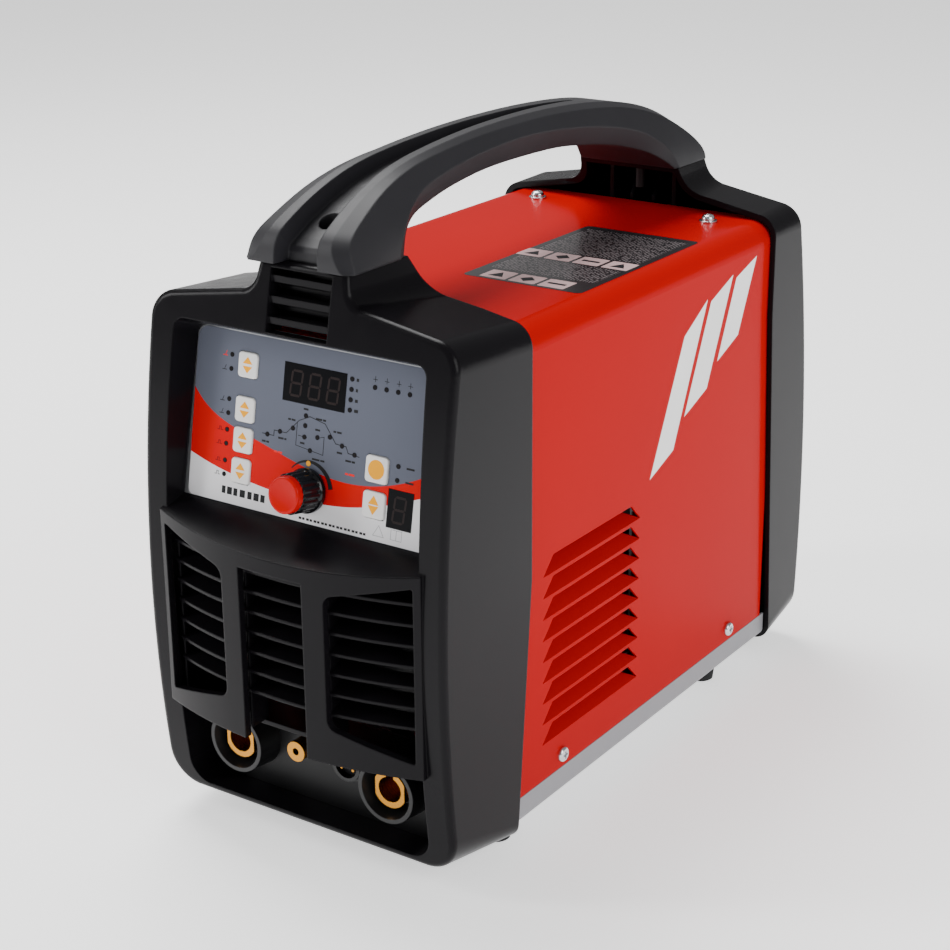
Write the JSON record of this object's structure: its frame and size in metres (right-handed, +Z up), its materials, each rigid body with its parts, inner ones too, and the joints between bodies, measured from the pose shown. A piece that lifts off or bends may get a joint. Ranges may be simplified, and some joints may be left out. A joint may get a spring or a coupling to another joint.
{
  "type": "tig welding machine",
  "caption": "Portable inverter TIG welding power source in a red steel case with black housings, a carrying handle, a control panel, cable sockets and a cooling fan.",
  "frame": {"origin": "on the floor under the middle of the machine's bounding box", "axes": "+Z up, front with the control panel faces -Y, +X to the right when facing the front, length along Y"},
  "size_m": [0.176, 0.3819, 0.3345],
  "materials": {
    "black_moulding": "fine textured, satin",
    "handle_black": "fine grained, matt",
    "red_paint": "glossy powder coat",
    "grey_paint": "satin powder coat",
    "rubber": "matt",
    "zinc_steel": "bright zinc",
    "overlay": "printed, satin",
    "plate_steel": "satin black",
    "display_window": "smoked, glossy",
    "light_lens": "glossy",
    "key_cap": "satin, printed arrows",
    "component_black": "moulded",
    "circuit_board": "solder mask, satin",
    "knob_black": "satin",
    "knob_red": "glossy",
    "socket_insulator": "hard, satin",
    "brass": "machined, bright",
    "aluminium": "extruded, mill finish",
    "capacitor_sleeve": "shrunk sleeve",
    "ferrite": "sintered, dull",
    "copper_winding": "enamelled",
    "steel_sheet": "zinc plated",
    "hose": "smooth"
  },
  "bodies": {
    "machine": {"front_housing": "black_moulding", "front_louvres": "black_moulding", "rear_housing": "black_moulding", "handle": "handle_black", "handle_screws": "zinc_steel", "cover": "red_paint", "base_tray": "grey_paint", "rubber_feet": "rubber", "foot_screws": "zinc_steel", "cover_side_screws": "zinc_steel", "cover_top_screws": "zinc_steel", "panel_plate": "plate_steel", "control_overlay": "overlay", "main_display": "display_window", "channel_display": "display_window", "indicator_lights": "light_lens", "key_switches": "component_black", "control_board": "circuit_board", "board_standoffs": "zinc_steel", "encoder": "zinc_steel", "connector_panel": "component_black", "socket_inserts": "brass", "connection_nuts": "brass", "gas_outlet": "brass", "torch_socket_shell": "socket_insulator", "torch_socket_insert": "socket_insulator", "torch_socket_pins": "brass", "negative_socket_body": "socket_insulator", "positive_socket_body": "socket_insulator", "rear_panel": "plate_steel", "fan_frame": "component_black", "fan_screws": "zinc_steel", "switch_body": "component_black", "cable_gland": "component_black", "gas_inlet": "brass", "earth_stud": "brass", "inner_frame": "steel_sheet", "main_board": "circuit_board", "heat_sinks": "aluminium", "power_modules": "component_black", "bus_capacitors": "capacitor_sleeve", "transformer_core": "ferrite", "transformer_windings": "copper_winding", "output_choke": "copper_winding", "output_rectifier": "aluminium", "coupling_coil": "copper_winding", "gas_valve": "brass", "gas_hoses": "hose"},
    "knob": {"encoder_shaft": "zinc_steel", "encoder_knob": "knob_black", "knob_cap": "knob_red"},
    "fan": {"fan_rotor": "component_black"},
    "rocker": {"switch_rocker": "knob_black"},
    "plunger": {"valve_plunger": "steel_sheet"},
    "cycle_button": {"cycle_key": "key_cap"},
    "current_button": {"current_key": "key_cap"},
    "start_button": {"start_key": "key_cap"},
    "pulse_button": {"pulse_key": "key_cap"},
    "channel_button": {"channel_key": "key_cap"},
    "store_button": {"store_key": "key_cap"}
  },
  "joints": [
    {"name": "cycle_press", "type": "slide", "parent": "machine", "child": "cycle_button", "axis": [0, 0.9838, -0.1793], "range_m": [0, 0.0006], "stiffness_N_per_m": 2000},
    {"name": "current_press", "type": "slide", "parent": "machine", "child": "current_button", "axis": [0, 0.9838, -0.1793], "range_m": [0, 0.0006], "stiffness_N_per_m": 2000},
    {"name": "start_press", "type": "slide", "parent": "machine", "child": "start_button", "axis": [0, 0.9838, -0.1793], "range_m": [0, 0.0006], "stiffness_N_per_m": 2000},
    {"name": "pulse_press", "type": "slide", "parent": "machine", "child": "pulse_button", "axis": [0, 0.9838, -0.1793], "range_m": [0, 0.0006], "stiffness_N_per_m": 2000},
    {"name": "channel_press", "type": "slide", "parent": "machine", "child": "channel_button", "axis": [0, 0.9838, -0.1793], "range_m": [0, 0.0006], "stiffness_N_per_m": 2000},
    {"name": "store_press", "type": "slide", "parent": "machine", "child": "store_button", "axis": [0, 0.9838, -0.1793], "range_m": [0, 0.0006], "stiffness_N_per_m": 2000},
    {"name": "knob_turn", "type": "hinge", "parent": "machine", "child": "knob", "pos_m": [0.0025, -0.16203, 0.18711], "axis": [0, -0.9838, 0.1793], "continuous": true},
    {"name": "fan_spin", "type": "hinge", "parent": "machine", "child": "fan", "pos_m": [0, 0.151, 0.128], "axis": [0, 1, 0], "continuous": true},
    {"name": "power_switch_rock", "type": "hinge", "parent": "machine", "child": "rocker", "pos_m": [-0.036, 0.162, 0.2195], "axis": [1, 0, 0], "range_deg": [-18, 0]},
    {"name": "valve_lift", "type": "slide", "parent": "machine", "child": "plunger", "axis": [0, 0, 1], "range_m": [0, 0.002], "stiffness_N_per_m": 400}
  ]
}
